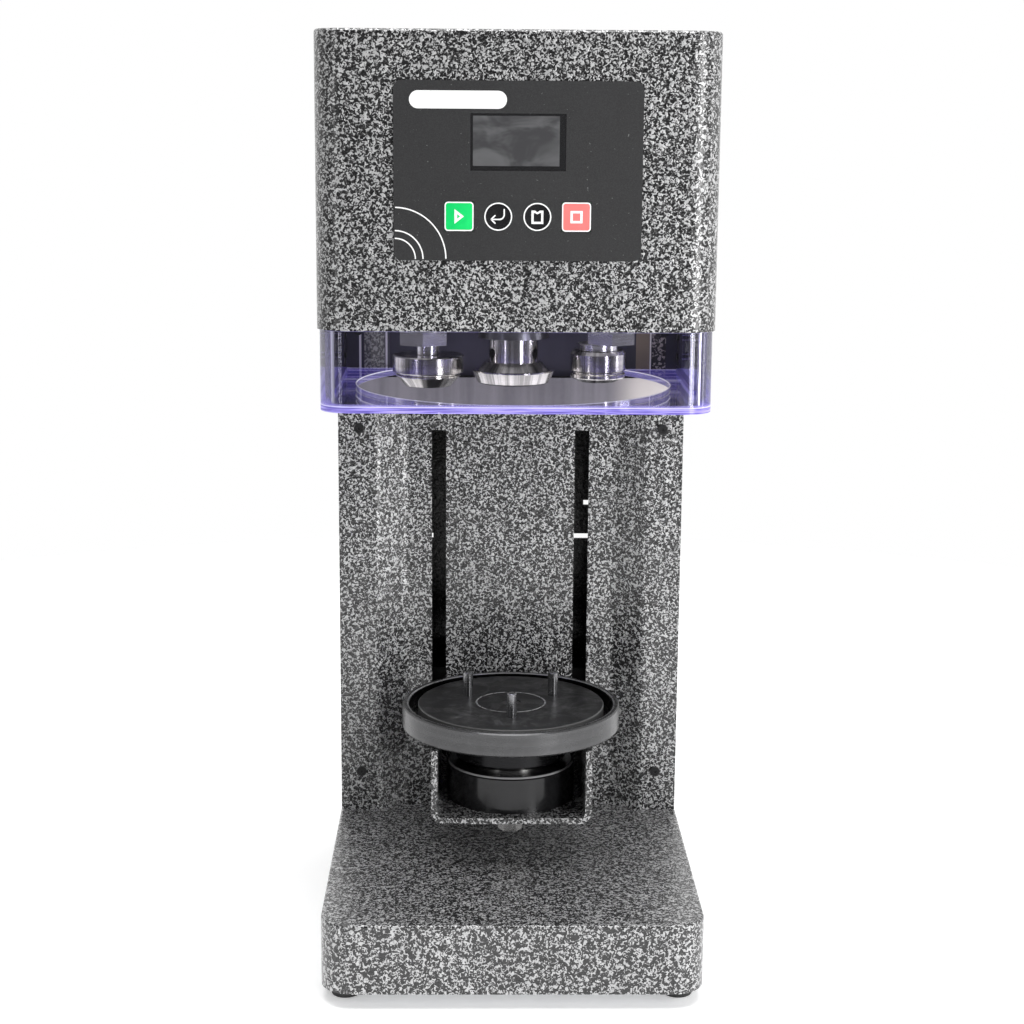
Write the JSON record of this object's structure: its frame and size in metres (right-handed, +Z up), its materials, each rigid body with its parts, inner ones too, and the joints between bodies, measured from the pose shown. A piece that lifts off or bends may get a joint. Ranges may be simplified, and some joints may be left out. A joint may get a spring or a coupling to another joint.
{
  "type": "can seamer",
  "caption": "Bench-top automatic can seamer: powered lift table on a slotted column, seaming chuck and two seaming rollers behind a clear guard, keypad and display on the head.",
  "frame": {"origin": "under the centre of the base, on the plane the rubber feet stand on", "axes": "+Z up, -Y towards the operator (the front with the keypad), +X to the operator's right"},
  "size_m": [0.24, 0.3, 0.5946],
  "materials": {
    "hammertone": "hammertone powder coat",
    "zinc_sheet": "zinc plated sheet",
    "rubber": "matte",
    "satin_steel": "satin",
    "dark_navy": "satin",
    "ground_steel": "ground",
    "aluminium": "milled",
    "black_plastic": "moulded",
    "motor_black": "satin",
    "clear_guard": "clear polycarbonate",
    "violet_strip": "clear, edge lit",
    "dark_steel": "blackened",
    "chuck_steel": "turned and polished",
    "motor_silver": "satin",
    "arm_steel": "satin",
    "nickel_steel": "nickel plated",
    "brass": "turned",
    "black_anodised": "gloss black anodised",
    "table_grey": "dark anodised satin",
    "black_rubber_disc": "worn satin",
    "pin_steel": "dark oiled",
    "overlay_film": "matte printed film",
    "display_glass": "smoked clear",
    "display_dark": "dark display",
    "circuit_board": "solder mask",
    "button_green": "printed",
    "button_black": "printed",
    "button_red": "printed",
    "black_screw": "black oxide"
  },
  "bodies": {
    "frame": {"base_housing": "hammertone", "base_plate": "zinc_sheet", "rubber_feet": "rubber", "column_shell": "hammertone", "column_front_panel": "hammertone", "splash_apron": "satin_steel", "chamber_back_plate": "dark_navy", "guide_rods": "ground_steel", "screw_bearing_blocks": "aluminium", "limit_switches": "black_plastic", "lift_motor": "motor_black", "head_main_plate": "aluminium", "head_cover": "hammertone", "guard_shell": "clear_guard", "guard_floor": "clear_guard", "guard_corner_strips": "violet_strip", "spindle_housing": "dark_steel", "spindle_bearings": "ground_steel", "motor_mount": "aluminium", "seaming_motor": "motor_black", "cam_motor": "motor_silver", "arm_pivot_pins": "ground_steel", "control_overlay": "overlay_film", "display_window": "display_glass", "display_module": "display_dark", "control_board": "circuit_board", "power_supply": "zinc_sheet", "power_inlet": "black_plastic", "cover_screws": "black_screw", "frame_screws": "dark_steel"},
    "lift_carriage": {"lift_bracket": "hammertone", "carriage_block": "black_anodised", "bracket_screws": "dark_steel", "linear_bushings": "ground_steel", "lead_nut": "brass", "lifter_cylinder": "black_anodised", "thrust_bearing": "ground_steel", "bracket_bolt": "nickel_steel"},
    "turntable": {"turntable_hub": "table_grey", "table_disc": "black_rubber_disc", "locating_pins": "pin_steel", "table_screw": "dark_steel"},
    "lift_screw": {"lead_screw": "ground_steel"},
    "spindle": {"spindle_shaft": "ground_steel", "seaming_chuck": "chuck_steel", "chuck_screw": "dark_steel"},
    "cam": {"roller_cam": "chuck_steel"},
    "first_arm": {"first_roller_arm": "arm_steel", "first_roller_pin": "nickel_steel"},
    "second_arm": {"second_roller_arm": "arm_steel", "second_roller_pin": "nickel_steel"},
    "first_roller_body": {"first_roller": "chuck_steel"},
    "second_roller_body": {"second_roller": "chuck_steel"},
    "start_key": {"start_button": "button_green"},
    "back_key": {"back_button": "button_black"},
    "mode_key": {"mode_button": "button_black"},
    "stop_key": {"stop_button": "button_red"},
    "rocker": {"power_rocker": "black_plastic"}
  },
  "joints": [
    {"name": "lift_slide", "type": "slide", "parent": "frame", "child": "lift_carriage", "axis": [0, 0, 1], "range_m": [0, 0.18]},
    {"name": "screw_spin", "type": "hinge", "parent": "frame", "child": "lift_screw", "pos_m": [0, 0.112, 0.2], "axis": [0, 0, 1], "range_deg": [0, 3240]},
    {"name": "table_spin", "type": "hinge", "parent": "lift_carriage", "child": "turntable", "pos_m": [0, -0.011, 0.15], "axis": [0, 0, 1], "continuous": true},
    {"name": "spindle_spin", "type": "hinge", "parent": "frame", "child": "spindle", "pos_m": [0, -0.011, 0.42], "axis": [0, 0, 1], "continuous": true},
    {"name": "cam_turn", "type": "hinge", "parent": "frame", "child": "cam", "pos_m": [0, 0.06, 0.413], "axis": [0, 0, 1], "range_deg": [-34, 18]},
    {"name": "first_arm_swing", "type": "hinge", "parent": "frame", "child": "first_arm", "pos_m": [-0.06, 0.04, 0.413], "axis": [0, 0, 1], "range_deg": [-11, 6]},
    {"name": "second_arm_swing", "type": "hinge", "parent": "frame", "child": "second_arm", "pos_m": [0.06, 0.04, 0.413], "axis": [0, 0, 1], "range_deg": [-11, 6]},
    {"name": "first_roller_spin", "type": "hinge", "parent": "first_arm", "child": "first_roller_body", "pos_m": [-0.0554, -0.011, 0.385], "axis": [0, 0, 1], "continuous": true},
    {"name": "second_roller_spin", "type": "hinge", "parent": "second_arm", "child": "second_roller_body", "pos_m": [0.055, -0.011, 0.385], "axis": [0, 0, 1], "continuous": true},
    {"name": "start_press", "type": "slide", "parent": "frame", "child": "start_key", "axis": [0, 1, 0], "range_m": [0, 0.0008], "stiffness_N_per_m": 800, "springref_m": -0.0004},
    {"name": "back_press", "type": "slide", "parent": "frame", "child": "back_key", "axis": [0, 1, 0], "range_m": [0, 0.0008], "stiffness_N_per_m": 800, "springref_m": -0.0004},
    {"name": "mode_press", "type": "slide", "parent": "frame", "child": "mode_key", "axis": [0, 1, 0], "range_m": [0, 0.0008], "stiffness_N_per_m": 800, "springref_m": -0.0004},
    {"name": "stop_press", "type": "slide", "parent": "frame", "child": "stop_key", "axis": [0, 1, 0], "range_m": [0, 0.0008], "stiffness_N_per_m": 800, "springref_m": -0.0004},
    {"name": "rocker_tilt", "type": "hinge", "parent": "frame", "child": "rocker", "pos_m": [-0.071, 0.142, 0.4522], "axis": [0, 0, 1], "range_deg": [-16, 0]}
  ],
  "couplings": [
    {"joint": "screw_spin", "follows": "lift_slide", "rad_per_m": 314.16},
    {"joint": "first_arm_swing", "follows": "cam_turn", "ratio": 0.314},
    {"joint": "second_arm_swing", "follows": "cam_turn", "ratio": 0.314}
  ]
}
